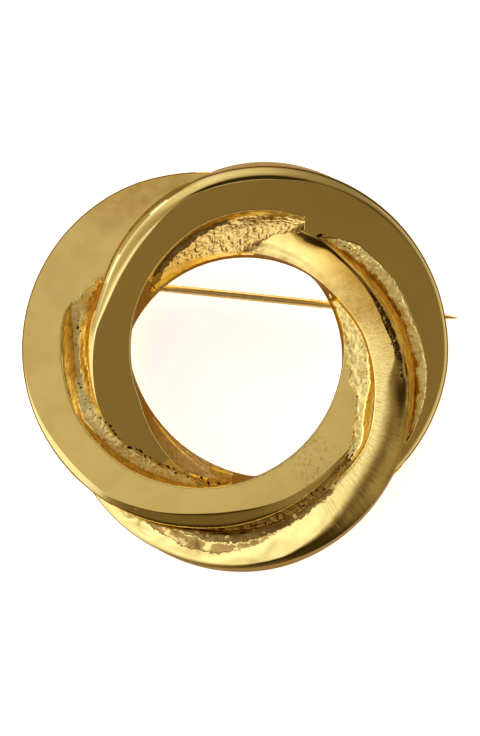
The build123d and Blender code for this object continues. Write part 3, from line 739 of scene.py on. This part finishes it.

# ------------------------------------------------------------------
# Colour masks kept on the mesh: `deep` is 0 on open faces; on the lower arm it
# rises towards the outer side, where the gold is painted a deeper orange as its
# painted shade, and it also turns the right ring's tail beside the open middle a
# deeper orange; `pit` is 1 in the pits, which are painted darker as their shade.
# ------------------------------------------------------------------
co = np.empty(len(cast.data.vertices) * 3)
cast.data.vertices.foreach_get("co", co)
co = co.reshape(-1, 3)
v_theta, v_r = np.arctan2(co[:, 1], co[:, 0]), np.hypot(co[:, 0], co[:, 1])
v_web, v_rough, v_dark = web_height(v_theta, v_r)
on_web = np.abs(co[:, 2] - v_web) < .06
pit = smooth(-pitted(co[:, 0] * 1.7, co[:, 1] * 1.7), .35, 1.2) * v_rough * on_web
tops = [face_height(R, v_theta, v_r) for R in RINGS.values()]
arm = RINGS["bottom"]
a_in, a_out = face_edges(arm, v_theta)
on_arm = (np.abs(co[:, 2] - face_height(arm, v_theta, v_r)) < .03) & (v_r > a_in - .2) & (v_r < a_out + .2)
# painted shade: the lower arm's outer side is painted towards deep orange, most where it climbs over its neighbour
arm_tint = turn_table([(-20, 0), (0, .12), (12, .45), (25, .75), (38, .7), (50, .55), (62, .5), (72, .3), (84, .0), (180, 0)], 4)
deep = on_arm * arm_tint(v_theta) * (.28 + .85 * smooth(v_r, a_in + 1.0, a_in + 3.0))
# the tail of the right ring turns deep gold beside the open middle
tail = RINGS["right"]
t_in, t_out = face_edges(tail, v_theta)
t_deg = np.degrees(v_theta) % 360
on_tail = (np.abs(co[:, 2] - face_height(tail, v_theta, v_r)) < .06) & (v_r > t_in - .3) & (v_r < t_out + .3)
deep = np.maximum(deep, on_tail * smooth(t_deg, 226, 240) * smooth(-t_deg, -270, -266))
# `shade`: painted shade, which the wall material mixes towards olive: on the smooth
# skin beside the right ring's inner wall as that wall's painted shadow, on darker
# banks, and in the dark crevice
shade = np.where(on_web & (v_dark == 3), 1.0, np.where(on_web & (v_dark == 1), .78, 0.0))
t_mid = (t_deg + 180) % 360 - 180
# painted shade: the bank beside the arm's inner wall is painted darker
beside = (t_mid > -42) & (t_mid < 32) & (v_r > a_in - 1.1) & (v_r < a_in + .12)
shade = np.maximum(shade, .65 * beside)
# painted shade: the deep orange of the valleys' walls passes softly into the darker, painted shade of the plain outer
# walls
for R in RINGS.values():
    lo, hi = R["at_outline"]
    past = np.abs((t_deg - (lo + hi) / 2 + 180) % 360 - 180) - (hi - lo) / 2
    w_out = face_edges(R, v_theta)[1]
    on_wall = (np.abs(v_r - w_out) < .35) & (co[:, 2] < face_height(R, v_theta, w_out - .02) - .08) & (past > 0)
    shade = np.maximum(shade, .6 * on_wall * smooth(-past, -36, -3))
# and the upper gap's wall gets painted shade, darker towards its right end
bank = on_web & (v_dark == 0) & (v_r > np.interp(t_deg, (64, 66, 71, 76, 82, 90), (18.9, 18.8, 18.6, 18.3, 17.9, 17.5)) - .1)
shade = np.maximum(shade, .42 * bank * smooth(t_deg, 60, 63) * smooth(-t_deg, -88, -74))
# the arm's brushing stops at its outer slope
w_arm = arm["bevel"](v_theta)
shade = np.maximum(shade, on_arm * smooth(v_r, a_out - w_arm * .9, a_out - w_arm * .4))
for name, values in (("deep", deep), ("pit", pit), ("shade", shade)):
    at = cast.data.attributes.new(name, "FLOAT", "POINT")
    at.data.foreach_set("value", values.astype(np.float32))

cast.data.transform(TO_METRES @ SEAT)


# ------------------------------------------------------------------
# Materials: all procedural, in the casting's own millimetres
# ------------------------------------------------------------------
class Nodes:
    """Short forms for building one material."""

    def __init__(self, name):
        self.mat = bpy.data.materials.new(name)
        self.mat.use_nodes = True
        self.tree = self.mat.node_tree
        self.bsdf = self.tree.nodes["Principled BSDF"]

    def put(self, kind, **inputs):
        n = self.tree.nodes.new(kind)
        for k, v in inputs.items():
            self.set(n, k.replace("_", " "), v)
        return n

    def set(self, node, key, v):
        sock = node.inputs[int(key)] if key.isdigit() else node.inputs[key]
        if isinstance(v, bpy.types.NodeSocket):
            self.tree.links.new(v, sock)
        else:
            sock.default_value = v

    def math(self, op, a, b=0.0, c=0.0):
        n = self.tree.nodes.new("ShaderNodeMath")
        n.operation = op
        for i, v in enumerate((a, b, c)):
            self.set(n, str(i), v)
        return n.outputs[0]

    def dot(self, a, b):
        n = self.tree.nodes.new("ShaderNodeVectorMath")
        n.operation = "DOT_PRODUCT"
        self.set(n, "0", a)
        n.inputs[1].default_value = b
        return n.outputs["Value"]

    def vec(self, x=0.0, y=0.0, z=0.0):
        n = self.tree.nodes.new("ShaderNodeCombineXYZ")
        for i, v in enumerate((x, y, z)):
            self.set(n, str(i), v)
        return n.outputs[0]

    def place(self):
        """Position in the casting's frame, in millimetres: (vector, x, y, z)."""
        c = self.tree.nodes.new("ShaderNodeTexCoord").outputs["Object"]
        s = self.tree.nodes.new("ShaderNodeVectorMath")
        s.operation = "MULTIPLY_ADD"
        self.set(s, "0", c)
        s.inputs[1].default_value = (1000,) * 3
        s.inputs[2].default_value = -SEAT.to_translation()
        axes = [self.dot(s.outputs[0], SEAT.to_3x3().col[i]) for i in range(3)]
        return (self.vec(*axes), *axes)

    def noise(self, vector, scale, detail=2.0, rough=.5):
        n = self.put("ShaderNodeTexNoise", Vector=vector, Scale=scale, Detail=detail, Roughness=rough)
        return n.outputs[0]

    def remap(self, v, a, b, c=0.0, d=1.0):
        n = self.tree.nodes.new("ShaderNodeMapRange")
        n.interpolation_type = "SMOOTHSTEP"
        for k, x in (("Value", v), ("From Min", a), ("From Max", b), ("To Min", c), ("To Max", d)):
            self.set(n, k, x)
        return n.outputs["Result"]

    def mix(self, f, a, b):
        n = self.tree.nodes.new("ShaderNodeMix")
        n.data_type = "RGBA"
        n.clamp_factor = True
        self.set(n, "0", f)
        for i, v in ((6, a), (7, b)):
            self.set(n, str(i), (*v, 1) if isinstance(v, tuple) else v)
        return n.outputs[2]

    def bump(self, height, depth, normal=None):
        n = self.tree.nodes.new("ShaderNodeBump")
        n.inputs["Strength"].default_value = 1.0
        n.inputs["Distance"].default_value = depth * MM
        self.set(n, "Height", height)
        if normal is not None:
            self.set(n, "Normal", normal)
        return n.outputs[0]

    def curve(self, u, rows):
        """A radius from a short table of (degrees from 220 to 330, radius)."""
        n = self.tree.nodes.new("ShaderNodeFloatCurve")
        c = n.mapping.curves[0]
        pts = [((a - 220) / 110, (r_ - 16) / 8) for a, r_ in rows]
        c.points[0].location, c.points[1].location = pts[0], pts[-1]
        for q in pts[1:-1]:
            c.points.new(*q)
        n.mapping.update()
        self.set(n, "Value", u)
        return self.math("MULTIPLY_ADD", n.outputs[0], 8.0, 16.0)

    def attribute(self, name):
        n = self.tree.nodes.new("ShaderNodeAttribute")
        n.attribute_name = name
        return n.outputs["Fac"]

    def finish(self, color, rough, normal=None, edge=(.93, .78, .42), metal=1.0):
        self.set(self.bsdf, "Base Color", color)
        self.bsdf.inputs["Metallic"].default_value = metal
        self.bsdf.inputs["Specular Tint"].default_value = (*edge, 1)
        self.set(self.bsdf, "Roughness", rough)
        if normal is not None:
            self.set(self.bsdf, "Normal", normal)
        return self.mat


# WARM, DEEP, OLIVE, UMBER and BROWN serve mostly as painted shade and painted inter-reflection
PALE, WARM, DEEP, BROWN = (.91, .74, .30), (.90, .62, .19), (.80, .50, .08), (.33, .185, .06)
OLIVE, UMBER = (.215, .14, .04), (.36, .22, .065)


def small_pits(m, p, cell, size, share):
    """Scattered casting pits: 1 in the middle of a pit."""
    v = m.tree.nodes.new("ShaderNodeTexVoronoi")
    m.set(v, "Vector", p)
    m.set(v, "Scale", 1.0 / cell)
    pick = m.tree.nodes.new("ShaderNodeSeparateColor")
    m.set(pick, "0", v.outputs["Color"])
    keep = m.math("LESS_THAN", pick.outputs[0], share)
    wide = m.math("MULTIPLY_ADD", pick.outputs[1], size / cell, size / cell * .4)
    return m.math("MULTIPLY", keep, m.remap(m.math("DIVIDE", v.outputs["Distance"], wide), 1.0, .3))


def polished_gold(name, tint=PALE, rough=.09):
    m = Nodes(name)
    p, x, y, z = m.place()
    haze = m.noise(p, .35, 3.0)
    pits = small_pits(m, p, 2.4, .08, .10)
    fine = m.noise(p, 3.0, 2.0)
    color = m.mix(m.remap(haze, .35, .7), tint, tuple(c * f for c, f in zip(tint, (.99, .975, .93))))
    # painted shade: the pits are painted brown
    color = m.mix(m.math("MULTIPLY", pits, .7), color, BROWN)
    jag = m.noise(p, 1.6, 4.0, .65)
    patch = m.remap(m.math("MULTIPLY_ADD", jag, .9, m.attribute("deep")), .98, 1.06)
    color = m.mix(patch, color, (1.0, .62, .10))
    broad = m.noise(p, .16, 2.0)
    color = m.mix(m.remap(broad, .35, .65, .0, .09), color, (.45, .40, .22))
    # mottled orange-brown on the upper left, from the right ring's outer edge outwards
    round_deg = m.math("DEGREES", m.math("ARCTAN2", y, x))
    reach = m.math("POWER", m.math("ADD", m.math("MULTIPLY", x, x), m.math("MULTIPLY", y, y)), .5)
    upper_left_orange = m.math("MULTIPLY", m.math("MULTIPLY", m.remap(round_deg, 98.0, 108.0), m.remap(round_deg, 146.0, 118.0)), m.remap(reach, 20.9, 22.6))
    color = m.mix(m.math("MULTIPLY", upper_left_orange, m.remap(m.noise(p, .8, 3.0), .3, .7, .35, .75)), color, (.62, .40, .11))
    # speckled stretch on the lower right, beside the arm that crosses over
    deg = m.math("DEGREES", m.math("ARCTAN2", y, x))
    here = m.math("MULTIPLY", m.remap(deg, -66.0, -54.0), m.remap(deg, -34.0, -44.0))
    speck = m.math("MULTIPLY", m.remap(m.noise(p, 2.2, 4.0, .6), .56, .64), here)
    color = m.mix(m.math("MULTIPLY", speck, .1), color, (.62, .42, .12))
    r = m.math("ADD", m.math("MULTIPLY_ADD", m.remap(haze, .4, .75), .04, rough), m.math("MULTIPLY", patch, .28))
    fine = m.math("MULTIPLY_ADD", m.math("MULTIPLY", speck, 2.5), -1.0, fine)
    n = m.bump(fine, .0012)
    n = m.bump(m.math("SUBTRACT", 1.0, pits), .012, n)
    return m.finish(color, r, n)


# limits of the lower arm's hollows, where their painted shade lies, (degrees round, radius)
MELT_OUTER = ((222, 20.0), (236, 20.8), (244, 21.6), (252, 22.1), (262, 22.3), (270, 21.9), (278, 21.1), (285, 20.1), (294, 18.6), (310, 16.5), (330, 16.2))
MELT_INNER = ((222, 17.0), (238, 18.2), (248, 20.4), (256, 20.8), (264, 21.0), (272, 20.9), (280, 20.4), (290, 19.8), (300, 19.2), (310, 18.6), (330, 16.2))


def brushed_gold(name):
    m = Nodes(name)
    p, x, y, z = m.place()
    turn = m.math("ARCTAN2", y, x)
    r = m.math("POWER", m.math("ADD", m.math("MULTIPLY", x, x), m.math("MULTIPLY", y, y)), .5)
    lines = m.noise(m.vec(m.math("MULTIPLY", turn, 95.0), m.math("MULTIPLY", r, .55)), 1.0, 4.0, .65)
    long_lines = m.noise(m.vec(m.math("MULTIPLY", turn, 34.0), m.math("MULTIPLY", r, .22), 4.0), 1.0, 2.0)
    # the brushing covers the arm on the right, and fades towards the polished ends
    deg = m.math("DEGREES", turn)
    brushed_here = m.math("MULTIPLY", m.math("MULTIPLY", m.remap(deg, -72.0, -50.0), m.remap(deg, 52.0, 30.0)), m.math("SUBTRACT", 1.0, m.math("MULTIPLY", m.attribute("shade"), .75)))
    haze = m.noise(p, .5, 3.0)
    pits = small_pits(m, p, 2.0, .08, .10)
    color = m.mix(m.remap(haze, .35, .7), PALE, (.885, .70, .265))
    # painted shade: `deep` turns the arm's outer side warm, then deep orange
    deep = m.attribute("deep")
    color = m.mix(m.math("MULTIPLY", deep, 2.0), color, WARM)
    color = m.mix(m.math("MULTIPLY_ADD", deep, 2.0, -1.0), color, DEEP)
    # painted shade: the arm is painted a little darker where it climbs over its neighbour
    climb_shade = m.math("MULTIPLY", m.remap(deg, 8.0, 24.0), m.remap(deg, 58.0, 40.0))
    color = m.mix(m.math("MULTIPLY", climb_shade, m.remap(m.noise(p, .4, 2.0), .3, .65, .35, .75)), color, (.55, .32, .07))
    # hollows of the lower arm: jagged patches of painted shade, umber and olive, for the hollows' darker reflection,
    # with a bright line between two of them
    turn_u = m.math("DIVIDE", m.math("ADD", deg, 140.0), 110.0)
    jag = m.math("MULTIPLY_ADD", m.noise(p, 1.1, 4.0, .72), 1.5, -.75)
    outer = m.math("SUBTRACT", m.math("ADD", m.curve(turn_u, MELT_OUTER), jag), r)
    inner = m.math("SUBTRACT", m.math("ADD", m.curve(turn_u, MELT_INNER), jag), r)
    low = m.math("MULTIPLY", m.remap(deg, -138.0, -130.0), m.remap(deg, -32.0, -46.0))
    umber_shade = m.math("MULTIPLY", m.math("MULTIPLY", m.remap(outer, .0, .05), m.remap(inner, -.10, -.15)), m.math("MULTIPLY", low, m.remap(deg, -74.0, -84.0)))
    olive_shade = m.math("MULTIPLY", m.remap(inner, .0, .05), low)
    color = m.mix(m.math("MULTIPLY", umber_shade, m.remap(m.noise(p, .8, 3.0), .40, .50, .2, .95)), color, UMBER)
    color = m.mix(m.math("MULTIPLY", olive_shade, m.remap(m.noise(p, 1.0, 4.0), .36, .42, .25, 1.0)), color, m.mix(m.remap(deg, -92.0, -112.0), OLIVE, (.42, .33, .16)))
    # painted shade: the pits are painted brown
    color = m.mix(m.math("MULTIPLY", pits, .6), color, BROWN)
    rough = m.math("MULTIPLY_ADD", brushed_here, .09, .10)
    both = m.math("MULTIPLY_ADD", long_lines, .8, lines)
    step = m.math("ADD", m.remap(inner, .0, .14), m.remap(outer, .0, .14))
    streak = m.math("MULTIPLY", brushed_here, m.remap(both, .74, .88, .24, .0))
    color = m.mix(streak, color, (.68, .44, .12))
    n = m.bump(m.math("MULTIPLY", both, brushed_here), .030)
    n = m.bump(m.math("SUBTRACT", 1.0, pits), .012, n)
    n = m.bump(m.math("MULTIPLY", step, m.math("MULTIPLY", low, -1.0)), .05, n)
    return m.finish(color, rough, n)


def wall_gold(name, tint, rough=.2, ripple=.02, mottle=0.0, edge=(.80, .50, .12), wrinkle=0.0):
    m = Nodes(name)
    p, x, y, z = m.place()
    soft = m.noise(p, .9, 3.0)
    fine = m.noise(p, 4.0, 3.0)
    color = m.mix(m.remap(soft, .3, .7), tint, tuple(c * f for c, f in zip(tint, (.93, .86, .74))))
    # painted shade: the `shade` mask mixes the wall towards olive
    shade_mask = m.attribute("shade")
    color = m.mix(shade_mask, color, OLIVE)
    if mottle:
        spots = m.noise(p, 1.7, 4.0, .65)
        color = m.mix(m.math("MULTIPLY", m.remap(spots, .47, .66), mottle), color, tuple(c * .42 for c in tint))
    reach = m.math("POWER", m.math("ADD", m.math("MULTIPLY", x, x), m.math("MULTIPLY", y, y)), .5)
    folds = m.noise(m.vec(m.math("MULTIPLY", m.math("DIVIDE", x, reach), 7.0), m.math("MULTIPLY", m.math("DIVIDE", y, reach), 7.0), m.math("MULTIPLY", reach, 2.4)), 1.0, 3.0, .6)
    crack = m.remap(m.math("ABSOLUTE", m.math("SUBTRACT", folds, .5)), .030, .008)
    color = m.mix(m.math("MULTIPLY", crack, wrinkle), color, (.16, .07, .012))
    r = m.math("MULTIPLY_ADD", m.remap(soft, .35, .7), .12, rough)
    n = m.bump(soft, ripple * 2.0)
    n = m.bump(folds, wrinkle * .12, n)
    n = m.bump(fine, ripple * .35, n)
    return m.finish(color, r, n, edge)


def sand_gold(name):
    m = Nodes(name)
    p, x, y, z = m.place()
    pit = m.attribute("pit")
    grain = m.noise(p, 3.6, 5.0, .7)
    blots = m.noise(p, .9, 4.0, .6)
    color = m.mix(m.remap(grain, .40, .60), (.98, .76, .28), (1.0, .86, .38))
    color = m.mix(m.math("MULTIPLY", m.remap(blots, .56, .66), .55), color, (.70, .42, .10))
    specks = m.remap(m.noise(p, 2.9, 3.0, .6), .68, .74)
    # dark specks in the grain, and the pits painted darker as their shade
    color = m.mix(m.math("MULTIPLY", m.math("MAXIMUM", specks, m.math("MULTIPLY", pit, .5)), .85), color, (.25, .13, .035))
    n = m.bump(grain, .05)
    n = m.bump(m.noise(p, 1.4, 3.0, .6), .07, n)
    return m.finish(color, .38, n, (.9, .76, .38), .8)


def pitted_gold(name):
    m = Nodes(name)
    p, x, y, z = m.place()
    pit = m.attribute("pit")
    grain = m.noise(p, 2.4, 4.0, .6)
    fine = m.noise(p, 9.0, 2.0)
    deg = m.math("DEGREES", m.math("ARCTAN2", y, x))
    color = m.mix(m.remap(grain, .38, .62), (.98, .68, .21), (1.0, .76, .30))
    color = m.mix(m.remap(deg, 90.0, 122.0, 0.0, .85), color, (.78, .45, .10))
    # painted shade: the pits painted darker
    color = m.mix(m.math("MULTIPLY", pit, .9), color, (.38, .20, .05))
    r = m.math("MULTIPLY_ADD", fine, .14, .15)
    n = m.bump(grain, .030)
    n = m.bump(fine, .004, n)
    return m.finish(color, r, n, (.95, .74, .34))


def satin_gold(name):
    m = Nodes(name)
    p, x, y, z = m.place()
    grain = m.noise(p, 5.0, 4.0, .6)
    soft = m.noise(p, .6, 3.0)
    color = m.mix(m.remap(soft, .35, .7), (.88, .70, .29), (.84, .63, .23))
    r = m.math("MULTIPLY_ADD", soft, .2, .24)
    return m.finish(color, r, m.bump(grain, .012))


polished = polished_gold("gold_polished")
brushed = brushed_gold("gold_brushed")
# valley walls and banks: deep orange painted as inter-reflection
wall = wall_gold("gold_recess", DEEP, .38, .02, .3, wrinkle=.55)
sand = sand_gold("gold_sand")
# outer walls: darker brown painted as their shade
rim = wall_gold("gold_rim", (.42, .28, .11), .30, .008, 0.0, (.45, .32, .17))
# a dark line painted just below the outer edge, as its dark reflection
edge_line = wall_gold("gold_edge", (.20, .10, .025), .3, .004, 0.0, (.25, .14, .05))
# near-black painted into the pits as their shade
pit_dark = wall_gold("gold_pit", (.085, .04, .01), .5, .004)
# walls round the open middle: brown painted as their shade, a dark reflection
hole_wall = wall_gold("gold_hole", (.345, .205, .07), .36, .02, .5, (.40, .25, .10))
rough_skin = pitted_gold("gold_pitted")
back = satin_gold("gold_back")
wire = wall_gold("gold_wire", (.78, .56, .22), .30, .004, .35, (.6, .42, .18))
for i, m in enumerate((hole_wall, polished, polished, rim, brushed, rough_skin, back, wall, edge_line, pit_dark, sand)):
    cast.data.materials[i] = m
for p in cast.data.polygons:
    p.use_smooth = True
cast.data.set_sharp_from_angle(angle=math.radians(38))
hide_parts("ring")
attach(cast, "brooch")

for name in ("hinge_rivet", "pin_stem"):
    for o in bpy.data.objects:
        if o.type == "MESH" and name in o.name:
            for slot in o.material_slots:
                slot.material = wire

# ------------------------------------------------------------------
# Floor, light and camera
# ------------------------------------------------------------------
bpy.ops.mesh.primitive_plane_add(size=4.0, location=(0, 0, 0))
floor = bpy.context.object
floor.name = "floor"
fm = bpy.data.materials.new("floor_paper")
fm.use_nodes = True
fb = fm.node_tree.nodes["Principled BSDF"]
fb.inputs["Base Color"].default_value = (0.90, 0.93, 0.97, 1)
fb.inputs["Roughness"].default_value = 0.9
fb.inputs["Emission Color"].default_value = (1, 1, 1, 1)
fb.inputs["Emission Strength"].default_value = 0.60
floor.data.materials.append(fm)

world = bpy.data.worlds.new("studio")
bpy.context.scene.world = world
world.use_nodes = True
wt = world.node_tree
wn, wl = wt.nodes, wt.links

# Brightness of the studio by direction: rows at an angle off the casting's
# axis, columns by the direction round it (0 is right, 90 is up in the picture).
STUDIO = (
    (0, ((0, .42),)),
    (10, ((0, .25), (30, .46), (50, .60), (65, .66), (82, .66), (95, .58), (120, .72), (150, 1.05), (188, 1.42),
          (220, 1.1), (250, .45), (275, .26), (295, .24), (309, .235), (325, .22), (340, .2))),
    (13, ((0, .22), (30, .42), (50, .58), (65, .66), (82, .66), (95, .54), (120, .66), (150, 1.05), (188, 1.45),
          (220, 1.1), (250, .35), (275, .25), (295, .24), (309, .235), (325, .22), (340, .2))),
    (18, ((0, .12), (28, .16), (44, .18), (56, .03), (108, .02), (120, .18), (132, .36), (156, .62), (180, 1.35), (188, 1.45), (220, 1.0),
          (236, .75), (246, .3), (254, .03), (300, .04), (312, .34), (325, .42), (340, .22))),
    (25, ((0, .05), (28, .04), (54, .03), (118, .02), (126, .30), (138, .46), (156, .56), (178, 1.05), (190, 1.4), (220, 1.1),
          (236, .7), (246, .25), (256, .02), (300, .04), (312, .36), (325, .42), (338, .15), (350, .03))),
    (34, ((0, .03), (40, .03), (56, .03), (104, .03), (114, .12), (126, .44), (150, .52), (172, .62), (190, 1.15), (220, 1.1),
          (236, .7), (246, .25), (256, .05), (292, .05), (303, .28), (325, .36), (340, .12), (350, .03))),
    (44, ((0, .05), (30, .05), (50, .10), (68, .26), (84, .58), (104, .70), (122, .62), (150, .58), (172, .64), (190, 1.2), (220, 1.15), (240, .28),
          (254, .16), (290, .16), (310, .28), (335, .20))),
    (58, ((0, .75), (30, .72), (55, .78), (76, 1.05), (100, 1.1), (120, .9), (150, .95), (188, 1.5), (225, 1.3), (243, .35),
          (258, .20), (287, .20), (310, .34), (335, .60))),
    (72, ((0, 1.6), (30, 1.7), (60, 1.9), (100, 2.2), (188, 2.5), (225, 2.4), (250, 1.3), (285, 1.2), (315, 1.3), (338, 1.5))),
    (84, ((0, 2.8), (60, 3.1), (120, 3.3), (188, 3.5), (235, 3.2), (265, 2.7), (300, 2.6), (335, 2.7))),
    (110, ((0, 2.7),)),
)


LIGHT = 6.0      # colour ramps hold 0 to 1, so the table is stored divided by this


def warm(v):
    k = v / LIGHT
    return (k, k * min(1, .64 + .33 * v), k * min(1, .18 + .70 * v), 1)


def wmath(op, a, b=None, c=None):
    n = wn.new("ShaderNodeMath")
    n.operation = op
    for i, v in enumerate((a, b, c)):
        if v is None:
            continue
        if isinstance(v, (int, float)):
            n.inputs[i].default_value = v
        else:
            wl.new(v, n.inputs[i])
    return n.outputs[0]


wc = wn.new("ShaderNodeTexCoord")
axes = []
for col in range(3):
    n = wn.new("ShaderNodeVectorMath")
    n.operation = "DOT_PRODUCT"
    wl.new(wc.outputs["Generated"], n.inputs[0])
    n.inputs[1].default_value = SEAT.to_3x3().col[col]
    axes.append(n.outputs["Value"])
off = wmath("DEGREES", wmath("ARCCOSINE", axes[2]))
turn = wmath("DIVIDE", wmath("DEGREES", wmath("ARCTAN2", axes[1], axes[0])), 360.0)
turn = wmath("FRACT", wmath("ADD", turn, 1.0))
total = None
for i, (angle, stops) in enumerate(STUDIO):
    ramp = wn.new("ShaderNodeValToRGB")
    ramp.color_ramp.interpolation = "EASE"
    wl.new(turn, ramp.inputs[0])
    el = ramp.color_ramp.elements
    first = stops[0][1]
    el[0].position, el[0].color = 0.0, warm(first)
    el[1].position, el[1].color = 1.0, warm(first)
    for az, v in stops[1:]:
        e = el.new(az / 360.0)
        e.color = warm(v)
    lo = STUDIO[i - 1][0] if i else None
    hi = STUDIO[i + 1][0] if i + 1 < len(STUDIO) else None
    weight = None
    if lo is not None:
        up = wn.new("ShaderNodeMapRange")
        up.interpolation_type = "SMOOTHSTEP"
        wl.new(off, up.inputs["Value"])
        up.inputs["From Min"].default_value, up.inputs["From Max"].default_value = lo, angle
        weight = up.outputs["Result"]
    if hi is not None:
        dn = wn.new("ShaderNodeMapRange")
        dn.interpolation_type = "SMOOTHSTEP"
        wl.new(off, dn.inputs["Value"])
        dn.inputs["From Min"].default_value, dn.inputs["From Max"].default_value = angle, hi
        dn.inputs["To Min"].default_value, dn.inputs["To Max"].default_value = 1.0, 0.0
        down = dn.outputs["Result"]
        weight = down if weight is None else wmath("MULTIPLY", weight, down)
    sc = wn.new("ShaderNodeVectorMath")
    sc.operation = "SCALE"
    wl.new(ramp.outputs["Color"], sc.inputs[0])
    wl.new(weight, sc.inputs["Scale"])
    if total is None:
        total = sc.outputs["Vector"]
    else:
        ad = wn.new("ShaderNodeVectorMath")
        ad.operation = "ADD"
        wl.new(total, ad.inputs[0])
        wl.new(sc.outputs["Vector"], ad.inputs[1])
        total = ad.outputs["Vector"]
wl.new(total, wn["Background"].inputs[0])
wn["Background"].inputs[1].default_value = LIGHT

cam_data = bpy.data.cameras.new("camera")
cam = bpy.data.objects.new("camera", cam_data)
bpy.context.scene.collection.objects.link(cam)
bpy.context.scene.camera = cam
PX = 8.4
aim = Vector(((240 - 235.5) / PX, (367 - 368) / PX, 3.5))
eye = aim + Vector((0, 0, 520.0))
rot = SEAT.to_3x3()
cam.matrix_world = Matrix.Translation(SEAT @ eye * MM) @ rot.to_4x4()
cam_data.sensor_width = 36
cam_data.lens = 36 * 520.0 / (736 / PX)
cam_data.clip_start = 0.01
cam_data.clip_end = 10

bpy.context.scene.view_settings.view_transform = "Standard"
